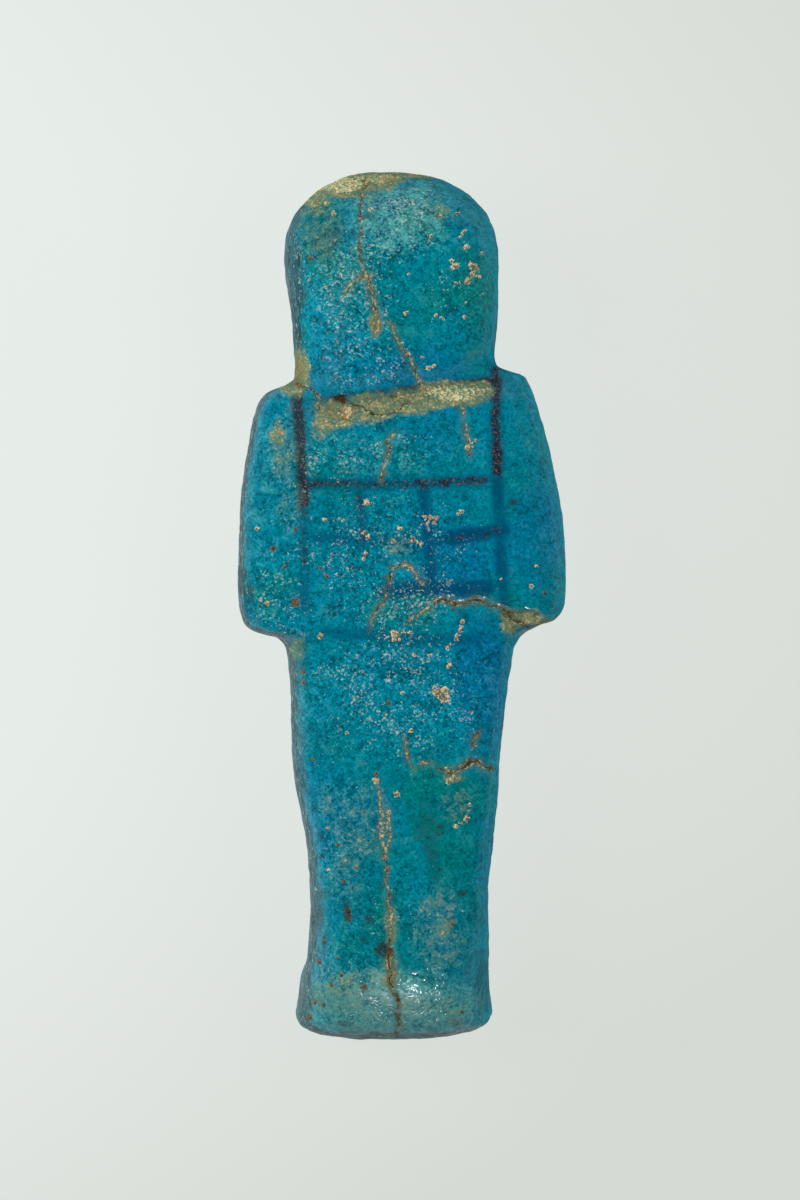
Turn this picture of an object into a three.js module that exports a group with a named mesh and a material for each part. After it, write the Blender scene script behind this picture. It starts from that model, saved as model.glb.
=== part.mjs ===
// A small mummiform servant figure of glazed quartz paste, pressed as one piece and laid on its front.
// +Y runs to the crown and +Z out of the flat back. Seen from behind, +X is on the right.
// The origin is under the middle of the figure, on the surface that it lies on. Millimetres.

import * as THREE from "three";

// Driving dimensions. The figure is drawn below in units, a hundredth of its length, and then stretched to them.
// In units, x is counted from the middle of the elbows, y from the sole and z from the resting surface.
const LENGTH = 110;
const WIDTH = 41.2;
const DEPTH = 28.2;
const DRAWN = { length: 100, width: 37.5, depth: 25.6 };

// Outline seen from behind: [y, x] up each side, from the sole to the crown.
const LEFT_EDGE = [
  [2.6, -12.5], // heel
  [4, -12.2],
  [6.8, -11.9],
  [9.2, -11.2],
  [12, -10.9],
  [15.2, -10.5], // ankle
  [19.5, -10.7],
  [23.3, -11.1],
  [29, -12.2],
  [33, -12.7], // knee
  [39.5, -12.8],
  [44.5, -13.2],
  [46, -13.6], // under the elbow
  [46.9, -14.8],
  [47.3, -16.8],
  [47.8, -17.8],
  [48.8, -18.4],
  [52.5, -18.8], // elbow
  [58.7, -18.6],
  [63.3, -18.3],
  [67.8, -17.6],
  [72, -16.8],
  [73.6, -16.2], // shoulder
  [74.4, -15.5],
  [75.4, -13.2],
  [76.3, -12.3], // neck
  [80, -12.4],
  [83.8, -12.8],
  [88, -13.4], // temple
  [93, -13.6],
  [100, -13.6],
];
const RIGHT_EDGE = [
  [0, 9.2],
  [1.2, 10],
  [2.8, 10.6], // heel
  [5.4, 10.2],
  [8.5, 10],
  [17.5, 9.9], // ankle
  [23.5, 10.4],
  [29.3, 10.9],
  [36, 11.5],
  [41.7, 12.1],
  [45.1, 12.6], // under the elbow
  [46.6, 13.2],
  [47.6, 14.5],
  [48.2, 16],
  [48.6, 17.4],
  [50.2, 18.5],
  [52.5, 18.7],
  [54.5, 18.7], // elbow
  [58.7, 18.5],
  [63.3, 17.7],
  [67.8, 16.8],
  [72.5, 15.5],
  [75.4, 14.3],
  [76.2, 13.8], // shoulder
  [76.6, 12.4],
  [77.1, 10.8],
  [78.5, 10.4], // neck
  [83, 10.8],
  [87, 11], // temple
  [91.7, 10.9],
  [95, 10.8],
  [98, 10.5],
  [100, 10],
];

// Side view, [y, z]: the flat back, the front of the body without its carving, and the level of the widest line.
const BACK_LINE = [
  [0, 15.5],
  [3.5, 18.3],
  [7, 20.1],
  [13, 20.8],
  [25, 21.3],
  [40, 22],
  [52, 22.7],
  [72, 24.1],
  [78, 24.9],
  [85, 25.6],
  [90, 25.3],
  [96, 23.6],
  [100, 22],
];
const FRONT_LINE = [
  [0, 1.4],
  [2.5, -0.1],
  [6, -0.1],
  [8.5, 1],
  [11.5, 4],
  [16, 5.8],
  [26, 5.5],
  [40, 4],
  [50, 3],
  [60, 2.5],
  [66, 3.3],
  [71, 4.8],
  [75.4, 6.2],
  [78, 4.8],
  [86, 4.2],
  [90, 4.7],
  [96, 6.8],
  [100, 9],
];
const WIDEST_LINE = [
  [0, 6],
  [6, 6],
  [14, 9],
  [45, 11],
  [60, 12],
  [78, 13],
  [100, 14],
];

// How square the section is, as superellipse exponents [y, exponent]: 2 is an ellipse, and more is flatter.
const BACK_LEFT_SQUARENESS = [
  [0, 2.8],
  [8, 3],
  [16, 4],
  [44, 5],
  [52, 7],
  [70, 7],
  [78, 4],
  [100, 3.2],
];
const BACK_RIGHT_SQUARENESS = [
  [0, 2.8],
  [8, 3.4],
  [16, 5.5],
  [44, 7],
  [76, 7],
  [84, 5.5],
  [100, 3.4],
];
const FRONT_SQUARENESS = [
  [0, 4.5],
  [7, 3.6],
  [14, 2.5],
  [44, 2.4],
  [60, 2.6],
  [78, 2.5],
  [100, 2.5],
];

// The two rounded ends: how far each reaches in from its tip, and how square its arc is.
const SOLE = { reach: 2.6, squareness: 2.9 };
const CROWN = { reach: 10, squareness: 2.25 };

// The wig stands out from the back along a slanting lower edge, with a shallow hollow under it.
const WIG_EDGE = { y: 73.9, slope: 0.114, step: 0.75, softness: 1.3, hollow: 0.3, hollowReach: 2.6 };

// Carving of the front. MIDDLE is the axis of the face and hands; heights stand towards the front.
const MIDDLE = -0.9;
const WIG = { height: 1.2, softness: 2.2, inner: 4, outer: 9, lappetEnd: 65, shoulder: 76, fadeFrom: 90, fadeTo: 98 };
const WIG_OVER_NECK = { height: 1.3, reach: 4 };
const FACE = { y: 84, width: 7.6, height: 8, bulge: 2 };
const BROW = { y: 87.6, width: 6, height: 1.8, bulge: 0.7 };
const EYE = { x: 2.9, y: 85.2, width: 2.2, height: 1.4, bulge: 0.7 };
const NOSE = { top: 87, tip: 82.4, end: 1.1, width: 1.9, bulge: 1.5, rootWidth: 0.6, rootHeight: 0.25 };
const MOUTH = { y: 79.9, width: 2.8, height: 1.4, bulge: 0.6 };
const CHIN = { y: 78, width: 2.8, height: 1.8, bulge: 0.6 };
const EAR = { x: 8.3, y: 84.4, width: 1.8, height: 3.2, bulge: 1.9 };
const ARM = { shoulder: [15, 70], elbow: [15.4, 52.5], radius: 3.6, height: 1.3 };
const FOREARM = { from: [14.4, 51.6], to: [-3, 60], radius: 3.5, height: 2, under: 0.4 };
const FIST = { x: -5, y: 61, radius: 3.8, height: 3.5 };

// The front is carved to full depth where it stands out from the widest line by this share of its depth.
const CARVED_FROM = 0.67;

// Fineness of the surface: rings along each stretch of the figure, [from, to, rings], and points round a ring.
const STRETCHES = [
  [SOLE.reach, 13, 8],
  [13, 44, 12],
  [44, 50, 9],
  [50, 64, 14],
  [64, 73, 7],
  [73, 78.5, 12],
  [78.5, DRAWN.length - CROWN.reach, 13],
];
const CAP = { rings: 6, tipGap: 0.6 };
const BACK_ARC = { points: 8, turnWeight: 0.5, wallShare: 1 };
const FRONT_ARC = { points: 19, turnWeight: 0.1, wallShare: 0.5 };
const ARC_SAMPLES = 160;

const GLAZE = { color: 0x0b7f9c, roughness: 0.3, metalness: 0 };

// A smooth curve through the knots that never overshoots between them (monotone cubic).
function curve(knots) {
  const gap = (i) => knots[i + 1][0] - knots[i][0];
  const rise = (i) => (knots[i + 1][1] - knots[i][1]) / gap(i);
  const last = knots.length - 1;
  const slope = knots.map((_, i) => {
    if (i === 0) return rise(0);
    if (i === last) return rise(last - 1);
    const before = rise(i - 1);
    const after = rise(i);
    if (before * after <= 0) return 0;
    const a = 2 * gap(i) + gap(i - 1);
    const b = gap(i) + 2 * gap(i - 1);
    return (a + b) / (a / before + b / after);
  });
  return (at) => {
    if (at <= knots[0][0]) return knots[0][1];
    if (at >= knots[last][0]) return knots[last][1];
    const i = knots.findIndex((knot, k) => k < last && at < knots[k + 1][0]);
    const t = (at - knots[i][0]) / gap(i);
    const s = 1 - t;
    return (
      s * s * (1 + 2 * t) * knots[i][1] +
      t * t * (3 - 2 * t) * knots[i + 1][1] +
      gap(i) * t * s * (s * slope[i] - t * slope[i + 1])
    );
  };
}

const leftEdge = curve(LEFT_EDGE);
const rightEdge = curve(RIGHT_EDGE);
const backLine = curve(BACK_LINE);
const frontLine = curve(FRONT_LINE);
const widestLine = curve(WIDEST_LINE);
const backLeftSquareness = curve(BACK_LEFT_SQUARENESS);
const backRightSquareness = curve(BACK_RIGHT_SQUARENESS);
const frontSquareness = curve(FRONT_SQUARENESS);

// 0 below from, 1 above to, with a smooth step between.
const step = (from, to, at) => THREE.MathUtils.smoothstep(at, from, to);

// Round forms, 1 at the middle and 0 from the rim outwards: a bump runs out softly, a boss more steeply.
const bump = (away, reach) => Math.max(0, 1 - (away / reach) ** 2) ** 2;
const boss = (away, reach) => Math.max(0, 1 - (away / reach) ** 2) ** 1.25;

// A bump on an oval of the given half width and half height.
const swell = (x, y, oval) => bump(Math.hypot(x / oval.width, y / oval.height), 1);

// The height of a round limb lying between two points.
function limb(x, y, from, to, radius) {
  const along = [to[0] - from[0], to[1] - from[1]];
  const reach = ((x - from[0]) * along[0] + (y - from[1]) * along[1]) / (along[0] ** 2 + along[1] ** 2);
  const t = THREE.MathUtils.clamp(reach, 0, 1);
  return boss(Math.hypot(x - from[0] - t * along[0], y - from[1] - t * along[1]), radius);
}

// The wig round the face and its two lappets, as a flat layer that stands up from the body.
function wigHeight(x, y) {
  const side = Math.abs(x);
  const faceRim = Math.hypot(x / FACE.width, (y - FACE.y) / FACE.height) - 1;
  const outsideFace = step(0, WIG.softness / FACE.width, faceRim);
  const besideNeck = step(WIG.inner - WIG.softness, WIG.inner, side);
  const clearOfThroat = y < FACE.y ? besideNeck : 1;
  const aboveEnd = step(WIG.lappetEnd - WIG.softness, WIG.lappetEnd, y);
  const insideOuter = 1 - step(WIG.outer, WIG.outer + WIG.softness, side);
  const aboveShoulder = step(WIG.shoulder - WIG.softness / 2, WIG.shoulder + WIG.softness / 2, y);
  const cover = Math.min(outsideFace, clearOfThroat, aboveEnd, Math.max(insideOuter, aboveShoulder));
  const height = WIG.height + WIG_OVER_NECK.height * bump(y - WIG.shoulder, WIG_OVER_NECK.reach);
  return cover * height * (1 - step(WIG.fadeFrom, WIG.fadeTo, y));
}

// A wedge that widens and rises from its root to its tip.
function noseHeight(side, y) {
  const along = THREE.MathUtils.clamp((NOSE.top - y) / (NOSE.top - NOSE.tip), 0, 1);
  const withinEnds = step(NOSE.tip - NOSE.end, NOSE.tip, y) * (1 - step(NOSE.top - NOSE.end, NOSE.top, y));
  const width = NOSE.width * THREE.MathUtils.lerp(NOSE.rootWidth, 1, along);
  const height = NOSE.bulge * THREE.MathUtils.lerp(NOSE.rootHeight, 1, along);
  return height * withinEnds * Math.max(0, 1 - (side / width) ** 2);
}

function faceHeight(x, y) {
  const side = Math.abs(x);
  const bulge = (form, across) => form.bulge * swell(across, y - form.y, form);
  const onAxis = [FACE, BROW, MOUTH, CHIN].reduce((sum, form) => sum + bulge(form, x), 0);
  return onAxis + bulge(EYE, side - EYE.x) + noseHeight(side, y);
}

const earHeight = (x, y) => EAR.bulge * Math.sqrt(swell(Math.abs(x) - EAR.x, y - EAR.y, EAR));

// Upper arms down the sides, and forearms crossed at the wrists with a fist on each side of the chest.
function armHeight(x, y) {
  const heights = [1, -1].flatMap((side) => {
    const across = side * x;
    const forearm = limb(across, y, FOREARM.from, FOREARM.to, FOREARM.radius);
    const fist = boss(Math.hypot(across - FIST.x, y - FIST.y), FIST.radius);
    return [
      ARM.height * limb(across, y, ARM.shoulder, ARM.elbow, ARM.radius),
      (FOREARM.height - (side > 0 ? 0 : FOREARM.under)) * forearm,
      FIST.height * fist,
    ];
  });
  return Math.max(...heights);
}

function frontCarving(x, y) {
  const across = x - MIDDLE;
  return Math.max(wigHeight(across, y), earHeight(across, y), armHeight(across, y)) + faceHeight(across, y);
}

function backCarving(x, y) {
  const above = y - WIG_EDGE.y - WIG_EDGE.slope * x;
  const wig = step(-WIG_EDGE.softness, WIG_EDGE.softness, above);
  const hollow = bump(above + WIG_EDGE.softness, WIG_EDGE.hollowReach);
  return WIG_EDGE.step * (wig - 1) - WIG_EDGE.hollow * hollow;
}

// A quarter of a superellipse from the widest point to the middle, in shares of its two half sizes, with points
// closer together where it turns and, for a small wall share, further apart up the side.
function quarterArc(squareness, { points, turnWeight, wallShare }) {
  const raw = Array.from({ length: ARC_SAMPLES + 1 }, (_, i) => {
    const angle = (i / ARC_SAMPLES) * (Math.PI / 2);
    return [Math.cos(angle) ** (2 / squareness), Math.sin(angle) ** (2 / squareness)];
  });
  const gone = [0];
  const heading = (i) => Math.atan2(raw[i + 1][1] - raw[i][1], raw[i + 1][0] - raw[i][0]);
  for (let i = 1; i <= ARC_SAMPLES; i++) {
    const length = Math.hypot(raw[i][0] - raw[i - 1][0], (raw[i][1] - raw[i - 1][1]) * wallShare);
    const turn = i > 1 ? Math.abs(heading(i - 1) - heading(i - 2)) : 0;
    gone.push(gone[i - 1] + length + turnWeight * turn);
  }
  return Array.from({ length: points }, (_, k) => {
    const target = (k / points) * gone[ARC_SAMPLES];
    const i = gone.findIndex((g) => g >= target);
    if (i === 0) return raw[0];
    const t = (target - gone[i - 1]) / (gone[i] - gone[i - 1]);
    return raw[i].map((value, axis) => THREE.MathUtils.lerp(raw[i - 1][axis], value, t));
  });
}

// One ring of points round the figure at y, shrunk about its own middle where the ends close. Nothing passes
// below the resting surface, so the toes and the fists are flat where they lie on it.
function ring(y, shrink) {
  const left = leftEdge(y);
  const right = rightEdge(y);
  const middle = (left + right) / 2;
  const half = ((right - left) / 2) * shrink;
  const widest = widestLine(y);
  const back = (backLine(y) - widest) * shrink;
  const front = (widest - frontLine(y)) * shrink;

  const backPoint = (side) => ([across, out]) => {
    const x = middle + side * half * across;
    return [x, y, widest + back * out + backCarving(x, y) * out * shrink];
  };
  const frontPoint = (side) => ([across, out]) => {
    const x = middle + side * half * across;
    const carved = Math.min(1, out / CARVED_FROM) * shrink;
    return [x, y, Math.max(0, widest - front * out - frontCarving(x, y) * carved)];
  };
  const turned = (arc) => [[0, 1], ...arc.slice(1).reverse()];

  const backLeft = quarterArc(backLeftSquareness(y), BACK_ARC);
  const backRight = quarterArc(backRightSquareness(y), BACK_ARC);
  const frontSide = quarterArc(frontSquareness(y), FRONT_ARC);
  return [
    ...backRight.map(backPoint(1)),
    ...turned(backLeft).map(backPoint(-1)),
    ...frontSide.map(frontPoint(-1)),
    ...turned(frontSide).map(frontPoint(1)),
  ];
}

// Rings of a rounded end, from its springing to near its tip.
function capRings(end, inward, cap) {
  return Array.from({ length: CAP.rings }, (_, i) => {
    const angle = ((i + 1) / (CAP.rings + CAP.tipGap)) * (Math.PI / 2);
    const out = Math.sin(angle) ** (2 / cap.squareness);
    const shrink = Math.cos(angle) ** (2 / cap.squareness);
    return ring(end + inward * cap.reach * (1 - out), shrink);
  });
}

// The closed skin over all the rings, with a point at the middle of each end. Each four-sided patch is split
// along its shorter diagonal.
function skin(rings) {
  const round = rings[0].length;
  const positions = [...rings.flat()];
  const centre = (points, y) => [
    points.reduce((sum, p) => sum + p[0], 0) / round,
    y,
    points.reduce((sum, p) => sum + p[2], 0) / round,
  ];
  const soleTip = positions.push(centre(rings[0], 0)) - 1;
  const crownTip = positions.push(centre(rings.at(-1), DRAWN.length)) - 1;
  const apart = (p, q) => Math.hypot(...positions[p].map((value, axis) => value - positions[q][axis]));
  const faces = [];
  for (let r = 0; r + 1 < rings.length; r++) {
    for (let k = 0; k < round; k++) {
      const a = r * round + k;
      const b = r * round + ((k + 1) % round);
      const c = b + round;
      const d = a + round;
      if (apart(a, c) < apart(b, d)) faces.push([a, c, b], [a, d, c]);
      else faces.push([a, d, b], [b, d, c]);
    }
  }
  const top = (rings.length - 1) * round;
  for (let k = 0; k < round; k++) {
    const next = (k + 1) % round;
    faces.push([soleTip, k, next], [crownTip, top + next, top + k]);
  }
  const geometry = new THREE.BufferGeometry();
  geometry.setAttribute("position", new THREE.Float32BufferAttribute(positions.flat(), 3));
  geometry.setIndex(faces.flat());
  return geometry;
}

function figureGeometry() {
  const along = STRETCHES.flatMap(([from, to, count]) =>
    Array.from({ length: count }, (_, i) => ring(THREE.MathUtils.lerp(from, to, i / count), 1)),
  );
  const rings = [
    ...capRings(0, 1, SOLE).reverse(),
    ...along,
    ring(DRAWN.length - CROWN.reach, 1),
    ...capRings(DRAWN.length, -1, CROWN),
  ];
  const geometry = skin(rings);
  geometry.scale(WIDTH / DRAWN.width, LENGTH / DRAWN.length, DEPTH / DRAWN.depth);
  geometry.computeBoundingBox();
  const middle = geometry.boundingBox.getCenter(new THREE.Vector3());
  geometry.translate(-middle.x, -middle.y, -geometry.boundingBox.min.z);
  geometry.computeVertexNormals();
  return geometry;
}

const figure = new THREE.Mesh(figureGeometry(), new THREE.MeshStandardMaterial(GLAZE));
figure.name = "figure";

const group = new THREE.Group();
group.add(figure);

export default group;
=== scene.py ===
import math

import bpy
import numpy as np
from bpy.props import FloatProperty, FloatVectorProperty, IntProperty, PointerProperty
from mathutils import Color, Matrix, Vector, noise


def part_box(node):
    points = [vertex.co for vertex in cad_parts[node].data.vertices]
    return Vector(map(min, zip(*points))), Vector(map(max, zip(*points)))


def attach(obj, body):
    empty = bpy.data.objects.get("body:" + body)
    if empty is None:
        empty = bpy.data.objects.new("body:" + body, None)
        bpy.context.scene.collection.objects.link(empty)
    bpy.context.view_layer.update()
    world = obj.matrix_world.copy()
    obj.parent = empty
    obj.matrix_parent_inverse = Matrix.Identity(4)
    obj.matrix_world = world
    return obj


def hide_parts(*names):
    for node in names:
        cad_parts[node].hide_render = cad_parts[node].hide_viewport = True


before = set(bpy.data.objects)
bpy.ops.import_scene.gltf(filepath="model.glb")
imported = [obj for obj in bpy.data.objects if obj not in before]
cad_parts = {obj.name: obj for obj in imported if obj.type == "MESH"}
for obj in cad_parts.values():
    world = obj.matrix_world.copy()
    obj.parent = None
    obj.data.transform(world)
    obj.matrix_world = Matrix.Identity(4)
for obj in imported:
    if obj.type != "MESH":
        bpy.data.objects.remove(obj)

bl_info = {
    "name": "Glazed servant figurine",
    "version": (1, 0, 0),
    "blender": (4, 5, 0),
    "location": "View3D > Sidebar > Figurine",
    "description": "Finishes the surface of a glazed mummiform figurine and lights it",
    "category": "Object",
}

NODE = "figure"
SLOT = "glazed_faience"
MILLIMETRE = 0.001

# The photograph's frame in pixels, the pixel at which the figurine's middle lies, and the figurine's length
# in pixels at the level of its widest outline. That level and the camera's height are in millimetres.
PHOTO_SIZE = (800, 1200)
FIGURE_MIDDLE_PIXEL = (402, 608)
FIGURE_LENGTH_PIXELS = 866.6
OUTLINE_LEVEL = 13.0
CAMERA_HEIGHT = 435.0
SENSOR = 36.0

LOW, HIGH = (np.array(corner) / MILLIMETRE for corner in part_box(NODE))
PIXELS_PER_MM = FIGURE_LENGTH_PIXELS / (HIGH[1] - LOW[1])
CAMERA_X = (PHOTO_SIZE[0] / 2 - FIGURE_MIDDLE_PIXEL[0]) / PIXELS_PER_MM
CAMERA_Y = (FIGURE_MIDDLE_PIXEL[1] - PHOTO_SIZE[1] / 2) / PIXELS_PER_MM

# Lines painted on the back before glazing, in the photograph's pixels: half width, share of manganese,
# share of blue that ran into the glaze, and the path.
PAINTED_LINES = {
    # The wig's hem is painted, and its lines also lie over the face of the step under the wig as painted
    # shade.
    "wig_hem_and_shade_left": (6, 0.55, 0.5, [(322, 401), (358, 395), (400, 390)]),
    "wig_hem_and_shade_right": (6, 0.9, 0.8, [(400, 390), (445, 385), (492, 380)]),
    "left_strap_top": (11, 1.0, 0.2, [(297, 391), (300, 440), (303, 502)]),
    "left_strap_middle": (8, 0.5, 0.5, [(303, 502), (304, 535), (304, 562)]),
    "left_strap_foot": (7, 0.12, 0.55, [(304, 562), (305, 608)]),
    "right_strap_top": (9, 1.0, 0.7, [(496, 371), (496, 420), (497, 472)]),
    "right_strap_foot": (8, 0.2, 0.8, [(497, 472), (500, 540), (503, 600), (507, 617)]),
    "first_band": (8, 0.7, 0.7, [(306, 483), (350, 484), (400, 484), (450, 482), (484, 480)]),
    "left_upright": (8, 0.5, 0.6, [(358, 486), (361, 515), (364, 545)]),
    "right_upright": (8, 0.25, 0.8, [(424, 490), (428, 540), (432, 592)]),
    "second_band_left": (7, 0.15, 0.65, [(308, 537), (380, 541), (450, 538)]),
    "second_band_right": (9, 0.4, 1.0, [(450, 538), (478, 534), (503, 530)]),
    "third_band": (10, 0.2, 1.0, [(385, 591), (430, 588), (486, 589)]),
    "fourth_band": (8, 0.15, 0.6, [(325, 632), (400, 638), (475, 641)]),
}

# Cracks, in the same pixels: width, how stained and how open they are, and the path.
CRACKS = {
    "crown": (1.6, 0.6, 0.7, [
        (366, 178), (362, 192), (360, 204), (362, 222), (358, 245), (362, 262), (365, 274),
    ]),
    "head_middle": (2.8, 0.9, 0.5, [
        (365, 274), (368, 284), (372, 296), (376, 310), (378, 322), (374, 334),
    ]),
    "head_branch": (1.6, 0.7, 0.2, [(365, 274), (356, 279), (348, 286), (342, 296)]),
    "nape": (1.6, 0.7, 0.3, [
        (388, 322), (394, 328), (398, 342), (403, 353), (410, 360), (415, 370), (418, 380), (424, 388),
    ]),
    "wig_corner": (1.3, 0.5, 0.8, [(303, 385), (311, 389), (316, 396), (320, 406)]),
    "hem_arc": (1.2, 0.1, 1.0, [
        (350, 402), (358, 405), (366, 410), (374, 415), (384, 415), (394, 412), (402, 405), (412, 402),
    ]),
    "back_left": (1.6, 0.9, 0.5, [(395, 432), (388, 440), (389, 453), (384, 466), (381, 482)]),
    "back_right": (1.8, 0.8, 0.6, [(462, 402), (463, 420), (466, 434), (468, 446), (469, 456)]),
    "elbow": (2.6, 0.8, 1.0, [
        (431, 606), (438, 599), (447, 599), (455, 604), (464, 604), (474, 600), (486, 601), (494, 606),
        (501, 608), (508, 614), (516, 620), (526, 627),
    ]),
    "elbow_arch": (1.8, 0.7, 0.4, [
        (424, 585), (418, 578), (412, 568), (402, 565), (392, 567), (388, 578), (386, 592),
    ]),
    "elbow_foot": (2.0, 0.7, 0.5, [(386, 592), (384, 602), (376, 610), (371, 620), (370, 630)]),
    "elbow_tail": (1.4, 0.4, 0.0, [(431, 606), (424, 611), (414, 616), (405, 622)]),
    "waist": (1.6, 0.8, 0.4, [(404, 738), (406, 752), (409, 763), (413, 768)]),
    "waist_short": (1.6, 0.7, 0.2, [(420, 765), (428, 764), (434, 765)]),
    "waist_right": (3.0, 0.8, 1.0, [
        (440, 769), (447, 771), (456, 772), (463, 766), (470, 761), (478, 763), (486, 769), (499, 767),
    ]),
    "thigh_stroke": (2.6, 0.9, 0.3, [(479, 733), (474, 739), (472, 746)]),
    "shin_top": (1.5, 0.6, 0.2, [
        (378, 785), (381, 805), (382, 822), (380, 838), (385, 855), (387, 870), (386, 890),
    ]),
    "shin_fork": (1.4, 0.5, 0.0, [(389, 812), (389, 835), (385, 852)]),
    "shin_middle": (2.0, 0.9, 0.5, [(386, 890), (390, 915), (391, 935), (391, 950)]),
    "shin_foot": (4.0, 1.0, 0.6, [(391, 950), (390, 965), (392, 980), (393, 990)]),
    "heel": (2.0, 0.9, 0.6, [(393, 990), (398, 999), (397, 1012), (399, 1028), (398, 1036)]),
}

# Places where the glaze has burst or flaked to the pale body or to rust, (x, y, radius) in the same pixels.
PALE_PITS = {
    "head_right": [
        (440, 216, 2.4), (458, 213, 2.4), (465, 231, 2.2), (461, 237, 1.8), (467, 248, 3.0),
        (482, 253, 1.8), (451, 260, 1.8), (455, 266, 3.2), (472, 264, 3.0), (477, 269, 1.6),
        (472, 274, 2.4), (467, 282, 3.0), (480, 277, 1.8), (456, 283, 1.6), (409, 274, 1.5),
        (406, 313, 2.2), (466, 302, 1.4), (465, 317, 2.0), (436, 315, 1.8), (443, 319, 1.4),
        (402, 343, 1.8), (428, 368, 2.2), (434, 366, 1.8), (422, 357, 1.8),
    ],
    "head_left": [
        (326, 203, 2.6), (333, 213, 2.4), (371, 210, 2.2), (326, 287, 1.8), (309, 279, 1.6),
        (431, 236, 2.4),
    ],
    "shoulders": [
        (348, 411, 5.0), (343, 520, 1.8), (325, 520, 2.2), (425, 517, 2.2), (431, 518, 2.4),
        (435, 522, 2.0), (428, 523, 1.8), (438, 517, 1.4), (462, 511, 2.2), (458, 514, 1.6),
        (468, 447, 2.6), (476, 441, 2.2),
    ],
    "back": [
        (366, 500, 1.8), (370, 503, 1.8), (364, 505, 1.5), (365, 533, 2.4), (369, 537, 1.8),
        (366, 553, 2.2), (364, 559, 1.8), (501, 579, 1.8), (531, 586, 2.2), (537, 566, 2.0),
        (267, 603, 2.4), (257, 529, 2.0), (320, 636, 2.6), (393, 633, 2.6), (398, 634, 2.0),
        (394, 639, 2.4), (399, 640, 1.6), (410, 632, 2.2), (462, 622, 2.4), (460, 630, 2.6),
        (456, 639, 2.4), (448, 648, 2.2), (449, 666, 2.8), (430, 655, 2.0), (414, 655, 2.0),
        (400, 528, 2.6), (412, 540, 2.6), (421, 544, 2.2), (393, 541, 2.2),
    ],
    "legs": [
        (434, 688, 2.4), (439, 690, 2.0), (445, 690, 2.6), (440, 696, 2.4), (447, 698, 2.6),
        (442, 702, 1.8), (435, 694, 1.8), (402, 693, 2.4), (454, 778, 3.2), (448, 782, 2.4),
        (376, 781, 4.2), (396, 794, 3.2), (467, 818, 3.4), (456, 826, 2.4), (470, 805, 2.0),
        (347, 733, 1.8), (328, 828, 2.2), (328, 870, 1.8), (411, 731, 2.2), (389, 812, 1.8),
    ],
}

BROWN_PITS = {
    "back": [
        (341, 400, 5.5), (295, 603, 5.0), (273, 548, 3.0), (284, 567, 2.2), (327, 576, 2.6),
        (320, 568, 2.0), (545, 593, 2.4), (310, 258, 3.0), (324, 359, 2.0), (295, 530, 2.0),
        (381, 478, 1.8), (387, 452, 1.8),
    ],
    "legs": [
        (389, 703, 2.4), (348, 912, 3.4), (350, 920, 2.4), (344, 881, 2.0), (324, 942, 2.2),
        (338, 958, 1.8), (365, 988, 3.0), (314, 1003, 2.4), (323, 1005, 2.2), (398, 1000, 2.4),
        (452, 924, 2.6), (390, 951, 4.0), (376, 774, 2.4), (303, 672, 2.4), (303, 683, 2.4),
        (319, 962, 2.2), (331, 985, 2.0), (309, 1018, 2.8), (341, 975, 2.0), (462, 1012, 2.2),
        (357, 868, 1.8), (338, 845, 1.8), (313, 760, 2.0), (364, 812, 1.8),
    ],
}

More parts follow.
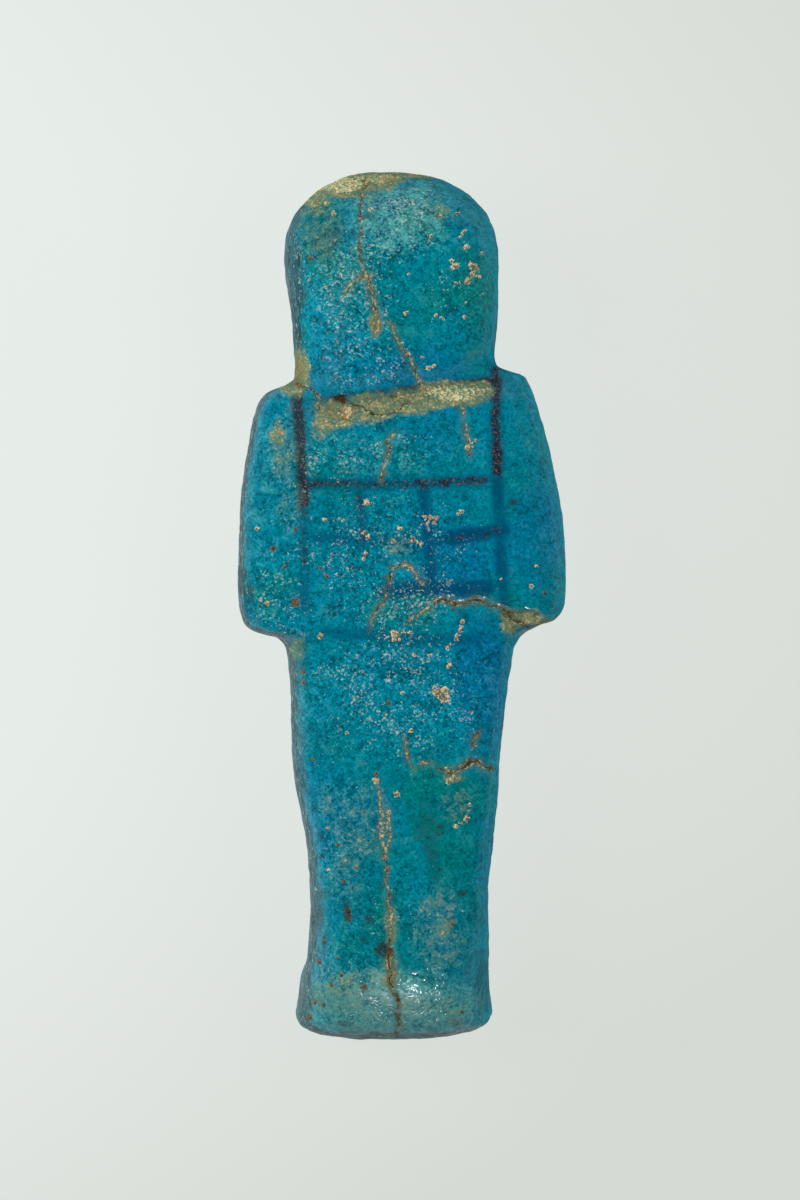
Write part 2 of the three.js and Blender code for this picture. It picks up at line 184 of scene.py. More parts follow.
# Soft oval zones of the back, (x, y, half width, half height, strength) in the same pixels.
ZONES = {
    "tan": [
        (340, 184, 36, 12, 1.25), (372, 178, 32, 9, 1.15), (312, 200, 14, 9, 0.9), (420, 172, 38, 7, 1.0),
        (298, 372, 10, 22, 1.0), (292, 385, 13, 9, 0.9), (384, 186, 12, 8, 0.5), (340, 413, 24, 13, 1.0),
        (372, 408, 26, 15, 1.0), (410, 402, 32, 12, 1.0), (450, 393, 36, 12, 1.25), (480, 389, 16, 7, 1.1),
        (326, 420, 12, 12, 0.9), (318, 430, 6, 12, 0.5), (277, 436, 8, 18, 0.6), (284, 455, 14, 26, 0.3),
        (290, 505, 14, 30, 0.2), (297, 648, 9, 16, 0.45), (374, 324, 6, 12, 0.8), (366, 277, 10, 5, 0.5),
        (523, 618, 17, 8, 1.0), (510, 622, 10, 12, 0.9), (540, 623, 12, 5, 0.8), (391, 925, 8, 20, 0.6),
        (341, 986, 17, 12, 0.45), (456, 1021, 10, 6, 0.45), (449, 925, 9, 22, 0.4),
        (360, 822, 34, 40, 0.22), (345, 880, 20, 30, 0.2), (330, 800, 14, 18, 0.2), (355, 992, 44, 24, 0.3),
        (440, 930, 28, 44, 0.26), (455, 805, 16, 16, 0.3), (322, 226, 26, 40, 0.3),
        (400, 1010, 90, 18, 0.22), (391, 972, 8, 26, 0.6), (454, 778, 9, 5, 0.7), (400, 545, 18, 10, 0.3),
        (441, 694, 10, 8, 0.5), (440, 212, 12, 10, 0.3), (372, 200, 8, 12, 0.3), (352, 858, 10, 22, 0.2),
        (330, 610, 10, 8, 0.2),
    ],
    "green": [
        (322, 240, 26, 48, 0.8), (305, 330, 10, 60, 0.5), (478, 300, 20, 90, 0.6), (428, 228, 26, 22, 0.7),
        (440, 805, 40, 40, 0.9), (455, 880, 30, 70, 0.6), (385, 880, 34, 60, 0.5), (512, 480, 20, 50, 0.35),
        (400, 290, 70, 70, 0.45), (350, 500, 60, 30, 0.3), (390, 620, 60, 40, 0.25),
        (385, 960, 60, 40, 0.5), (520, 600, 30, 20, 0.5), (275, 600, 30, 30, 0.3),
    ],
    "deep": [
        (465, 430, 60, 40, 0.4), (455, 560, 50, 40, 0.8), (334, 370, 36, 40, 0.4), (425, 368, 60, 26, 0.7),
        (532, 540, 30, 66, 0.7), (480, 680, 30, 66, 0.9), (420, 520, 14, 12, 0.6), (320, 800, 24, 60, 0.4),
        (490, 870, 14, 60, 0.5), (262, 400, 14, 20, 0.5), (400, 660, 60, 40, 0.3),
    ],
    "pale": [
        (258, 480, 18, 60, 0.25), (265, 560, 18, 50, 0.15), (390, 1004, 95, 34, 1.2),
        (345, 900, 40, 60, 0.15), (380, 460, 60, 24, 0.3), (400, 220, 50, 34, 0.9), (380, 196, 40, 14, 0.6),
        (300, 740, 20, 60, 0.2),
    ],
    "dark": [
        (331, 236, 15, 15, 0.65), (322, 246, 13, 15, 0.6), (326, 1000, 14, 20, 0.4),
        (322, 225, 26, 26, 0.5), (304, 600, 12, 24, 0.3), (470, 340, 12, 30, 0.3), (300, 655, 12, 24, 0.5),
        (424, 820, 12, 26, 0.5), (490, 620, 14, 10, 0.4), (370, 212, 10, 8, 0.5), (382, 950, 10, 12, 0.5),
        (352, 870, 12, 30, 0.25), (346, 790, 10, 20, 0.2), (430, 840, 10, 40, 0.5),
    ],
    # Dark dirt, and painted shade under the wig's step and at the lower edge of the elbow break.
    "dirt_and_shade": [
        (383, 949, 9, 8, 1.1), (318, 918, 6, 20, 1.0), (347, 912, 5, 13, 1.1), (368, 922, 4, 8, 0.9),
        (364, 938, 5, 5, 1.1), (324, 943, 3, 9, 1.0), (463, 893, 6, 4, 1.1), (345, 1022, 9, 3, 1.0),
        (512, 504, 7, 5, 1.1), (393, 396, 5, 3, 0.9), (341, 400, 8, 5, 1.1), (391, 968, 4, 20, 0.5),
        (441, 830, 4, 8, 0.9), (437, 872, 5, 12, 0.7), (393, 990, 4, 14, 0.7), (508, 613, 8, 6, 0.7),
        (520, 628, 12, 4, 0.9), (398, 1012, 4, 18, 0.6), (296, 372, 7, 18, 0.6), (366, 985, 8, 6, 0.6),
        (321, 895, 10, 6, 0.6),
    ],
    "rusty": [
        (543, 616, 10, 6, 1.2), (528, 617, 10, 5, 0.4), (374, 324, 6, 11, 0.9), (391, 955, 7, 30, 0.8),
        (348, 411, 8, 7, 1.3), (298, 372, 8, 20, 0.6), (360, 183, 50, 12, 0.5), (277, 436, 8, 16, 0.4),
        (336, 412, 16, 10, 0.5), (340, 190, 30, 10, 0.3), (330, 240, 8, 8, 0.35), (309, 257, 6, 9, 0.6),
        (458, 1020, 12, 6, 0.6),
    ],
    "matt": [
        (350, 398, 50, 19, 1.1), (410, 391, 60, 20, 1.1), (468, 384, 44, 19, 1.1), (316, 402, 24, 18, 1.0),
        (326, 245, 34, 66, 1.0), (318, 330, 26, 60, 1.0), (490, 370, 26, 20, 1.0), (300, 420, 14, 30, 0.8),
    ],
    # The wall zones add to the steep sides that get painted shade and painted reflection.
    "wall_sheen_and_shade": [
        (293, 285, 11, 105, 0.9), (289, 225, 9, 40, 0.8), (240, 545, 6, 90, 0.6), (246, 605, 9, 26, 0.5),
        (293, 700, 6, 60, 0.5), (300, 985, 12, 44, 0.9), (482, 985, 9, 46, 0.7), (308, 900, 7, 60, 0.5),
        (390, 1031, 100, 9, 0.2), (300, 790, 7, 60, 0.6), (497, 280, 4, 80, 0.4),
    ],
    "specks": [
        (350, 300, 60, 100, 1.0), (395, 225, 56, 50, 0.9), (365, 368, 54, 26, 0.9), (350, 445, 50, 34, 0.7),
        (420, 440, 60, 34, 0.5), (390, 560, 96, 84, 0.9), (290, 560, 44, 84, 0.7), (400, 690, 96, 74, 0.9),
        (340, 830, 40, 70, 0.55), (285, 610, 40, 30, 0.9), (290, 470, 40, 60, 0.6), (385, 910, 50, 60, 0.5),
        (345, 965, 40, 30, 0.6), (280, 420, 20, 14, 0.9), (445, 300, 40, 50, 0.5), (420, 525, 30, 20, 0.6),
    ],
}

# Breaks under the elbows, (x, y, half width, half height, share of the depth) in the same pixels.
ELBOW_BREAKS = ((524, 620, 24, 12, 0.7), (252, 612, 9, 18, 0.25))

# Farther from any mark than the mark reaches, in pixels.
FAR = 30.0
CRACK_MARKS = ("crack_near", "crack_side", "crack_width", "crack_stain", "crack_open")
PIT_MARKS = ("pit_across", "pit_along", "pit_near", "pit_radius", "pit_pale")

# Painting of the front, in millimetres from the axis of the face: half width of the line, and the path.
FACE_AXIS = -1.0
MIRRORED_FRONT_LINES = {
    "upper_lid": (0.28, [(1.3, 38.2), (2.2, 39.2), (3.3, 39.6), (4.6, 39.1), (5.6, 38.5), (6.6, 38.3)]),
    "lower_lid": (0.16, [(1.3, 38.2), (2.2, 37.6), (3.3, 37.4), (4.4, 37.8), (5.2, 38.4)]),
    "pupil": (0.5, [(3.2, 38.5), (3.3, 38.6)]),
    "brow": (0.3, [(1.2, 40.4), (2.2, 41.4), (3.6, 41.9), (5.2, 41.5), (6.8, 40.6)]),
    "wig_rim": (0.26, [(8.6, 41.4), (7.4, 43.4), (5.2, 45.0), (2.6, 45.8), (0, 46.0)]),
    "wig_rim_low": (0.22, [(8.4, 34.0), (7.6, 32.2), (6.4, 30.6), (4.9, 29.2), (3.9, 27.6)]),
    "lappet": (0.26, [
        (3.5, 27.6), (3.4, 22.0), (3.4, 15.8), (7.0, 15.4), (10.8, 15.8), (11.2, 20.0), (10.9, 25.5),
    ]),
    "lappet_tie": (0.2, [(3.6, 17.8), (7.2, 17.5), (10.9, 17.8)]),
    "hoe_handle": (0.34, [(5.9, 14.0), (7.6, 18.4), (9.2, 22.2), (10.4, 25.4)]),
    "hoe_blade": (0.5, [(10.4, 25.4), (12.6, 24.6), (13.8, 22.6), (13.9, 20.4)]),
    "column_side": (0.25, [(3.6, -3.5), (3.5, -20.0), (3.4, -41.0)]),
}

# Fine relief of the front, in the same millimetres: half width, height and path of the ridges and grooves,
# then the round swellings, (x, y, half width, half height, height).
FRONT_RIDGES = (
    (0.45, 0.22, [(1.3, 38.2), (2.4, 39.3), (3.6, 39.6), (5.0, 38.8)]),
    (0.4, 0.12, [(1.3, 38.2), (2.4, 37.5), (3.6, 37.4), (5.0, 38.8)]),
    (0.5, 0.14, [(1.0, 40.6), (2.6, 41.5), (4.4, 41.6), (6.0, 40.6)]),
    (0.4, -0.35, [(0, 32.8), (2.2, 32.9)]),
    (0.45, -0.3, [(9.4, 39.9), (8.6, 38.6), (8.9, 36.8), (9.4, 35.6)]),
)
FRONT_SWELLINGS = (
    (0, 33.6, 2.5, 0.9, 0.35), (0, 32.0, 2.1, 0.9, 0.35),
    (1.25, 35.5, 0.9, 0.8, 0.4), (3.6, 34.0, 1.6, 2.0, -0.3),
)
KNUCKLES = (10.6, 11.7, 12.8)
FRONT_PITS = 46
# The column of strokes on the front: its ends, the step from row to row, the half width of a stroke, and
# how far to the sides the strokes stand.
COLUMN = {"top": -5.5, "bottom": -39.5, "row": 2.6, "line": 0.22, "places": [-1.5, 0.0, 1.5]}


def linear(code):
    """A colour written as six hexadecimal digits, as linear light."""
    channels = [int(code[i:i + 2], 16) / 255 for i in (0, 2, 4)]
    return tuple(c / 12.92 if c <= 0.04045 else ((c + 0.055) / 1.055) ** 2.4 for c in channels)


def colour(name, description, code):
    """A colour that the sidebar shows."""
    return FloatVectorProperty(
        name=name, description=description, subtype="COLOR", default=linear(code), min=0, max=1
    )


def length(name, description, millimetres):
    """A length that the sidebar shows, kept in metres."""
    return amount(name, description, millimetres * MILLIMETRE, unit="LENGTH", precision=5)


def amount(name, description, value, **limits):
    """A number that the sidebar shows."""
    return FloatProperty(name=name, description=description, default=value, min=0, **limits)


class FigurineSurface(bpy.types.PropertyGroup):
    """Sizes of the finished surface."""

    grain: length("Surface step", "Spacing of the points of the finished surface", 0.375)
    softening: IntProperty(name="Softening", description="Passes that soften the facets", default=11, min=0)
    lumps: length("Lumps", "Height of the uneven hand finishing", 0.16)
    ripples: length("Ripples", "Height of the ripples in the glaze", 0.045)
    crack_depth: length("Crack depth", "Depth of the open cracks", 0.28)
    pit_depth: length("Pit depth", "Depth of a pit of one millimetre radius", 0.55)
    chip_depth: length("Chip depth", "Depth of the break under the elbow", 1.0)


class FigurineGlaze(bpy.types.PropertyGroup):
    """Colours of the glaze, the painting and the wear, and of the painted shade and reflections of the
    steep sides.
    """

    turquoise: colour("Turquoise", "The glaze where it is thick and even", "008399")
    teal: colour("Teal", "The greener glaze", "007B7C")
    blue: colour("Blue", "The bluer glaze", "007198")
    pale: colour("Pale", "Thin glaze over the white body", "50A2A0")
    shade: colour("Shade", "Dull grey-green stains in the glaze", "1F4A50")
    # Edge and Wall are not glaze colours: Edge is painted shade on the steep sides away from the light,
    # Wall a painted greyish reflection on the steep sides.
    edge: colour("Edge", "Dull dark glaze on the sides away from the light", "1E3844")
    quartz: colour("Quartz", "Grains of quartz that show through", "B4DCDC")
    wall_sheen_and_shade: colour("Wall", "Thin greyish glaze on the steep sides", "5B7C80")
    olive: colour("Olive", "Weathered glaze between the sound glaze and the bare body", "6A896B")
    tan: colour("Tan", "Weathered body without its glaze", "A59C6C")
    ochre: colour("Ochre", "Body stained by iron", "966628")
    cream: colour("Cream", "Fresh pale body inside a pit", "E6D6A8")
    # Soil is dirt, and also the painted shade in the pits' hollows, in the dirt zones and in the dark
    # streaks of the steep sides.
    soil_and_shade: colour("Soil", "Dirt inside cracks and pits", "2B2013")
    manganese: colour("Manganese", "Brown-violet painted lines", "221C22")
    line_grain: colour("Line grain", "Grains that show through the painted lines", "7A625C")
    line_blue: colour("Line blue", "Painted lines that ran into the glaze", "00486F")
    gloss: amount("Roughness", "Roughness of the sound glaze", 0.12, max=1)


class FigurineStage(bpy.types.PropertyGroup):
    """Floor, light and camera."""

    floor_near: colour("Floor, bright side", "The floor to the left of the figurine", "E8EEEA")
    floor_far: colour("Floor, far corner", "The floor before the foot on the right", "D7DCD6")
    side_power: amount("Side light", "Power of an average side light", 3.3, unit="POWER")
    glint_power: amount("Glint", "Power of a small light that the glaze mirrors", 1.2, unit="POWER")
    sky: amount("Sky", "Strength of the light from all around", 0.42)


def deselect():
    """Leaves nothing selected and object mode on."""
    if bpy.context.object and bpy.context.object.mode != "OBJECT":
        bpy.ops.object.mode_set(mode="OBJECT")
    bpy.ops.object.select_all(action="DESELECT")


def make_active(piece):
    """Selects one object alone."""
    deselect()
    piece.select_set(True)
    bpy.context.view_layer.objects.active = piece


def apply_modifier(piece, kind, **settings):
    """Adds a modifier with these settings and applies it."""
    make_active(piece)
    modifier = piece.modifiers.new(kind.title(), kind)
    for name, value in settings.items():
        setattr(modifier, name, value)
    bpy.ops.object.modifier_apply(modifier=modifier.name)


def smooth_step(low, high, value):
    """0 below low, 1 above high, with a smooth step between."""
    share = np.clip((value - low) / (high - low), 0, 1)
    return share * share * (3 - 2 * share)


def rounded(path):
    """The same path with its corners cut twice."""
    path = np.array(path, float)
    for _ in range(2):
        near = path[:-1] * 0.75 + path[1:] * 0.25
        far = path[:-1] * 0.25 + path[1:] * 0.75
        path = np.concatenate([path[:1], np.stack([near, far], 1).reshape(-1, 2), path[-1:]])
    return path


def path_distance(places, path):
    """How far each place is from a path, the same with a sign for the side, and how far along it lies."""
    path = np.array(path, float)
    steps = np.linalg.norm(np.diff(path, axis=0), axis=1)
    gone = np.concatenate([[0], np.cumsum(steps)])
    near = np.full(len(places), np.inf)
    side = np.zeros(len(places))
    share = np.zeros(len(places))
    for start, end, step, before in zip(path, path[1:], steps, gone):
        along = (end - start) / step
        offset = places - start
        reach = np.clip(offset @ along, 0, step)
        away = np.linalg.norm(offset - reach[:, None] * along, axis=1)
        turn = along[0] * offset[:, 1] - along[1] * offset[:, 0]
        nearer = away < near
        near[nearer] = away[nearer]
        side[nearer] = np.where(turn < 0, -away, away)[nearer]
        share[nearer] = ((before + reach) / gone[-1])[nearer]
    return near, side, share


class Surface:
    """The points of a mesh, in millimetres, while it is shaped and marked."""

    def __init__(self, mesh):
        self.mesh = mesh
        self.read()

    def read(self):
        """Reads the points and their normals."""
        self.places = self.vectors("co") / MILLIMETRE
        self.normals = self.vectors("normal")

    def vectors(self, name):
        values = np.empty(len(self.mesh.vertices) * 3)
        self.mesh.vertices.foreach_get(name, values)
        return values.reshape(-1, 3)

    def noise(self, size, seed=0):
        """Smooth noise from -1 to 1 whose lumps are about this many millimetres apart."""
        shift = Vector((seed * 7.31, seed * 3.17, seed * 11.9))
        return np.array([noise.noise(Vector(place) + shift) for place in self.places / size])

    def bend(self):
        """How hollow the surface is at each point, softened: 1 in a hollow of one millimetre radius."""
        pairs = np.empty(len(self.mesh.edges) * 2, int)
        self.mesh.edges.foreach_get("vertices", pairs)
        first, second = pairs.reshape(-1, 2).T
        count = np.bincount(pairs, minlength=len(self.places))

        def around(values):
            total = np.bincount(first, values[second], len(values))
            total += np.bincount(second, values[first], len(values))
            return total / count

        spacing = np.mean(np.linalg.norm(self.places[first] - self.places[second], axis=1))
        mean = np.column_stack([around(axis) for axis in self.places.T])
        hollow = ((mean - self.places) * self.normals).sum(axis=1) * 2 / spacing ** 2
        for _ in range(6):
            hollow = (hollow + around(hollow)) / 2
        return hollow

    def move(self, height):
        """Moves each point out along its normal by its own number of millimetres."""
        self.places += self.normals * np.asarray(height)[:, None]
        self.mesh.vertices.foreach_set("co", (self.places * MILLIMETRE).ravel())
        self.mesh.update()
        self.read()

    def mark(self, name, values):
        """Stores one number a point for the material to read."""
        attribute = self.mesh.attributes.new(name, "FLOAT", "POINT")
        attribute.data.foreach_set("value", np.asarray(values, np.float32))

    def in_photo(self):
        """Where the camera sees each point, in the photograph's pixels."""
        scale = PIXELS_PER_MM * (CAMERA_HEIGHT - OUTLINE_LEVEL) / (CAMERA_HEIGHT - self.places[:, 2])
        x = PHOTO_SIZE[0] / 2 + (self.places[:, 0] - CAMERA_X) * scale
        y = PHOTO_SIZE[1] / 2 - (self.places[:, 1] - CAMERA_Y) * scale
        return np.column_stack([x, y])


def zone_strength(places, zones):
    """The strongest of several soft oval zones at each place."""
    strength = np.zeros(len(places))
    for x, y, half_width, half_height, amount in zones:
        away = np.hypot((places[:, 0] - x) / half_width, (places[:, 1] - y) / half_height)
        strength = np.maximum(strength, amount * (1 - smooth_step(0.45, 1.45, away)))
    return strength


def back_pits():
    """The pits of the back: place, radius and paleness."""
    kinds = ((1, PALE_PITS), (0, BROWN_PITS))
    return [(*pit, paleness) for paleness, groups in kinds for group in groups.values() for pit in group]


def front_pits():
    """A few small pits scattered over the front, where the photograph doesn't show it."""
    draw = np.random.default_rng(11)
    x = draw.uniform(260, 540, FRONT_PITS)
    y = draw.uniform(190, 1020, FRONT_PITS)
    radius = draw.uniform(1.0, 2.6, FRONT_PITS)
    return list(zip(x, y, radius, draw.integers(0, 2, FRONT_PITS)))


def nearest_crack(places):
    """For each place how far the nearest crack is, on which side, how wide, how stained and how open."""
    found = np.tile([FAR, FAR, 0.0, 0.0, 0.0], (len(places), 1))
    for width, stain, opened, path in CRACKS.values():
        near, side, share = path_distance(places, path)
        taper = np.interp(share, [0, 0.12, 0.85, 1], [0.55, 1, 1, 0.4])
        nearer = near < found[:, 0]
        found[nearer, :3] = np.column_stack([near, side, width * taper])[nearer]
        found[nearer, 3:] = stain, opened
    return found


def nearest_pit(places, pits):
    """For each place the way across and along to the nearest pit, its distance, radius and paleness."""
    found = np.tile([FAR, FAR, FAR, 1.0, 0.0], (len(places), 1))
    for x, y, radius, paleness in pits:
        across, along = places[:, 0] - x, places[:, 1] - y
        away = np.hypot(across, along)
        nearer = away - radius < found[:, 2] - found[:, 3]
        found[nearer, :3] = np.column_stack([across, along, away])[nearer]
        found[nearer, 3:] = radius, paleness
    return found


class BackMarks:
    """Where the cracks, pits, zones and painted lines of the back lie on a surface."""

    def __init__(self, surface):
        jitter = np.column_stack([surface.noise(1.1, 3), surface.noise(1.1, 4)]) * 1.6
        drift = np.column_stack([surface.noise(3.0, 5), surface.noise(3.0, 6)]) * 4
        exact = surface.in_photo()
        places = exact + jitter
        self.turned_up = smooth_step(-0.35, 0.1, surface.normals[:, 2])
        self.on_back = smooth_step(0.0, 0.45, surface.normals[:, 2])
        self.crack = nearest_crack(places)
        self.manganese = np.zeros(len(places))
        self.blue = np.zeros(len(places))
        for width, dark, blue, path in PAINTED_LINES.values():
            near, _, _ = path_distance(exact + jitter * 0.5, path)
            self.manganese = np.maximum(self.manganese, dark * (1 - smooth_step(0.1, 1.05, near / width)))
            self.blue = np.maximum(self.blue, blue * (1 - smooth_step(0.2, 1.5, near / width)))
        back, front = nearest_pit(exact, back_pits()), nearest_pit(exact, front_pits())
        self.pit = np.where(self.turned_up[:, None] > 0.5, back, front)
        self.pit[:, 2] += 2 * FAR * np.minimum(self.turned_up, 1 - self.turned_up)
        self.zones = {name: zone_strength(places + drift, zones) for name, zones in ZONES.items()}

    def carve(self, surface, settings):
        """Sinks the cracks and pits, and roughens the weathered patches."""
        near, _, width, _, _ = self.crack.T
        groove = np.exp(-((near / (0.9 + width * 0.55)) ** 2))
        cracks = groove * settings.crack_depth / MILLIMETRE * np.clip(width / 2.6, 0.3, 1)
        pits = self.pit[:, 3] * (1 - smooth_step(0.2, 1.3, self.pit[:, 2] / self.pit[:, 3]))
        pits = np.minimum(pits / PIXELS_PER_MM * settings.pit_depth / MILLIMETRE, 0.3)
        crumble = self.zones["tan"] * (0.05 + 0.06 * surface.noise(0.9, 21))
        surface.move(-cracks * self.on_back - crumble * self.turned_up - pits)

    def store(self, surface):
        """Leaves the marks on the surface for the material."""
        faces_down = 1 - self.turned_up
        self.crack[:, 0] += (1 - self.on_back) * FAR
        for name, values in zip(CRACK_MARKS + PIT_MARKS, (*self.crack.T, *self.pit.T)):
            surface.mark(name, values)
        surface.mark("manganese", self.manganese * self.turned_up)
        surface.mark("line_blue", self.blue * self.turned_up)
        for name, strength in self.zones.items():
            on_front = faces_down * 0.45 if name == "specks" else 0
            surface.mark(name, np.maximum(strength * self.turned_up, on_front))
        surface.mark("bend", surface.bend())
        surface.mark("faces_down", faces_down)
        # Where the material paints shade and reflection: the side facing the lights, and the steep sides.
        lit_side = smooth_step(-0.3, 0.3, -surface.normals[:, 0] - 0.7 * surface.normals[:, 1])
        upright = surface.normals[:, 2] + (1 - lit_side) * 0.36
        below = smooth_step(-0.8, 0.1, surface.normals[:, 2])
        surface.mark("steep", below * (1 - smooth_step(0.3, 0.72, upright)))
        surface.mark("lit_side", lit_side)
        tilted = 1 - smooth_step(0.4, 0.9, surface.normals[:, 2])
        surface.mark("tilted", tilted * (1 - lit_side) * self.turned_up)


def column_strokes():
    """Short painted strokes in a column down the front, none of them a letter."""
    draw = np.random.default_rng(7)
    rows = np.arange(COLUMN["top"], COLUMN["bottom"], -COLUMN["row"])
    strokes = []
    for row in rows:
        for centre in draw.choice(COLUMN["places"], size=draw.integers(1, 3), replace=False):
            start = np.array([centre, row]) + draw.uniform(-0.25, 0.25, 2)
            angle = draw.choice([0.0, math.pi / 2, math.pi / 4]) + draw.uniform(-0.2, 0.2)
            reach = np.array([math.cos(angle), math.sin(angle)]) * draw.uniform(0.5, 0.85)
            strokes.append([tuple(start - reach), tuple(start + reach)])
    return strokes


def paint_front(surface):
    """Marks the painted eyes, hoes and column of the front."""
    jitter = np.column_stack([surface.noise(1.0, 31), surface.noise(1.0, 32)]) * 0.1
    places = surface.places[:, :2] - (FACE_AXIS, 0) + jitter
    mirrored = np.column_stack([np.abs(places[:, 0]), places[:, 1]])
    paint = np.zeros(len(places))
    for line, path in MIRRORED_FRONT_LINES.values():
        near, _, _ = path_distance(mirrored, rounded(path))
        paint = np.maximum(paint, 1 - smooth_step(0.6, 1.7, near / line))
    for path in column_strokes():
        near, _, _ = path_distance(places, path)
        paint = np.maximum(paint, 0.85 * (1 - smooth_step(0.6, 1.7, near / COLUMN["line"])))
    faces_down = 1 - smooth_step(-0.35, -0.1, surface.normals[:, 2])
    surface.mark("front_paint", paint * faces_down)


def oval(places, x, y, half_width, half_height):
    """A round swelling, 1 at its middle and 0 from its rim outwards."""
    away = np.hypot((places[:, 0] - x) / half_width, (places[:, 1] - y) / half_height)
    return np.clip(1 - away ** 2, 0, 1) ** 1.5


def carve_front(surface):
    """Sharpens the lids, the lips, the ears and the fingers, which stand out towards the front."""
    across = surface.places[:, 0] - FACE_AXIS
    places = np.column_stack([np.abs(across), surface.places[:, 1]])
    faces_down = 1 - smooth_step(-0.6, -0.2, surface.normals[:, 2])
    fingers = tuple((0.32, -0.3, [(3.6, knuckle - 0.3), (7.4, knuckle + 0.3)]) for knuckle in KNUCKLES)
    height = np.zeros(len(places))
    for line, rise, path in FRONT_RIDGES + fingers:
        near, _, _ = path_distance(places, path)
        height += rise * np.exp(-((near / line) ** 2))
    for *place, rise in FRONT_SWELLINGS:
        height += rise * oval(places, *place)
    height *= faces_down
    lifted = surface.places[:, 2] + surface.normals[:, 2] * height
    height = np.where(lifted < 0, 0, height)
    surface.move(height)


def break_elbow(surface, settings):
    """Sinks the break under the elbow and the flake on the other one."""
    places = surface.in_photo()
    ragged = 1 + 0.3 * surface.noise(1.2, 41)
    depth = settings.chip_depth / MILLIMETRE
    for x, y, half_width, half_height, share in ELBOW_BREAKS:
        away = np.hypot((places[:, 0] - x) / half_width, (places[:, 1] - y) / half_height)
        inside = (1 - smooth_step(0.5, 1.0, away)) * smooth_step(0.35, 0.8, surface.normals[:, 2])
        surface.move(-inside * depth * share * ragged)
        places = surface.in_photo()


def keep_inside(surface):
    """Keeps every point inside the box of the solid and above the surface that the figurine lies on."""
    surface.places = np.clip(surface.places, LOW, HIGH)
    surface.mesh.vertices.foreach_set("co", (surface.places * MILLIMETRE).ravel())
    surface.mesh.update()
    surface.read()


class Value:
    """A number or colour that varies over the surface: an output socket that can be calculated with."""

    def __init__(self, graph, socket):
        self.graph = graph
        self.socket = socket

    def math(self, operation, *others):
        return self.graph.add("ShaderNodeMath", {"operation": operation}, dict(enumerate((self, *others))))

    def __add__(self, other):
        return self.math("ADD", other)

    __radd__ = __add__

    def __sub__(self, other):
        return self.math("SUBTRACT", other)

    def __rsub__(self, other):
        return self.graph.add("ShaderNodeMath", {"operation": "SUBTRACT"}, {0: other, 1: self})

    def __mul__(self, other):
        return self.math("MULTIPLY", other)

    __rmul__ = __mul__

    def __truediv__(self, other):
        return self.math("DIVIDE", other)

    def __abs__(self):
        return self.math("ABSOLUTE")

    def maximum(self, other):
        return self.math("MAXIMUM", other)

    def step(self, low, high):
        """0 where this is below low and 1 where it is above high, with a smooth step between."""
        sockets = {"Value": self, "From Min": low, "From Max": high}
        return self.graph.add("ShaderNodeMapRange", {"interpolation_type": "SMOOTHSTEP"}, sockets)


class Graph:
    """The nodes of a material."""

    def __init__(self, name):
        self.material = bpy.data.materials.new(name)
        self.material.use_nodes = True
        self.tree = self.material.node_tree
        self.tree.nodes.clear()
        self.place = self.add("ShaderNodeTexCoord", output="Object")

    def add(self, kind, settings=None, sockets=None, output=0):
        """Adds a node: its settings first, then a value or a link for each named or numbered input."""
        node = self.tree.nodes.new(kind)
        for name, value in (settings or {}).items():
            setattr(node, name, value)
        for name, value in (sockets or {}).items():
            if isinstance(value, Value):
                self.tree.links.new(value.socket, node.inputs[name])
            elif isinstance(value, Color) and node.inputs[name].type == "RGBA":
                node.inputs[name].default_value = (*value, 1)
            else:
                node.inputs[name].default_value = value
        return Value(self, node.outputs[output])

    def finish(self, shader):
        """Makes this shader the material's surface."""
        output = self.tree.nodes.new("ShaderNodeOutputMaterial")
        self.tree.links.new(shader.socket, output.inputs["Surface"])

    def field(self, name):
        """A number stored on the surface."""
        return self.add("ShaderNodeAttribute", {"attribute_name": name}, output="Fac")

    def noise(self, size, detail=2.0, seed=0.0, roughness=0.5, place=None):
        """Noise from 0 to 1 whose lumps are about this many millimetres apart."""
        sockets = {"Vector": place or self.shifted(seed), "Scale": 1 / (size * MILLIMETRE)}
        sockets.update({"Detail": detail, "Roughness": roughness})
        return self.add("ShaderNodeTexNoise", None, sockets)

    def shifted(self, seed):
        """The place on the surface, moved so that another seed gives another pattern."""
        shift = (seed * 0.013, seed * 0.007, 0)
        return self.add("ShaderNodeVectorMath", {"operation": "ADD"}, {0: self.place, 1: shift})

    def cells(self, size, seed):
        """One random number from 0 to 1 for each grain of about this size in millimetres."""
        sockets = {"Vector": self.shifted(seed), "Scale": 1 / (size * MILLIMETRE)}
        grains = self.add("ShaderNodeTexVoronoi", None, sockets, "Color")
        return self.add("ShaderNodeSeparateColor", None, {0: grains})

    def mix(self, share, first, second):
        """The first colour where the share is 0 and the second where it is 1."""
        settings = {"data_type": "RGBA", "clamp_factor": True}
        return self.add("ShaderNodeMix", settings, {0: share, 6: first, 7: second}, output=2)

    def brighten(self, tint, factor):
        """A colour times a number."""
        return self.add("ShaderNodeVectorMath", {"operation": "SCALE"}, {0: tint, "Scale": factor})


def hypotenuse(across, along):
    """How far a place is when it lies this far across and this far along."""
    return (across * across + along * along).math("SQRT")


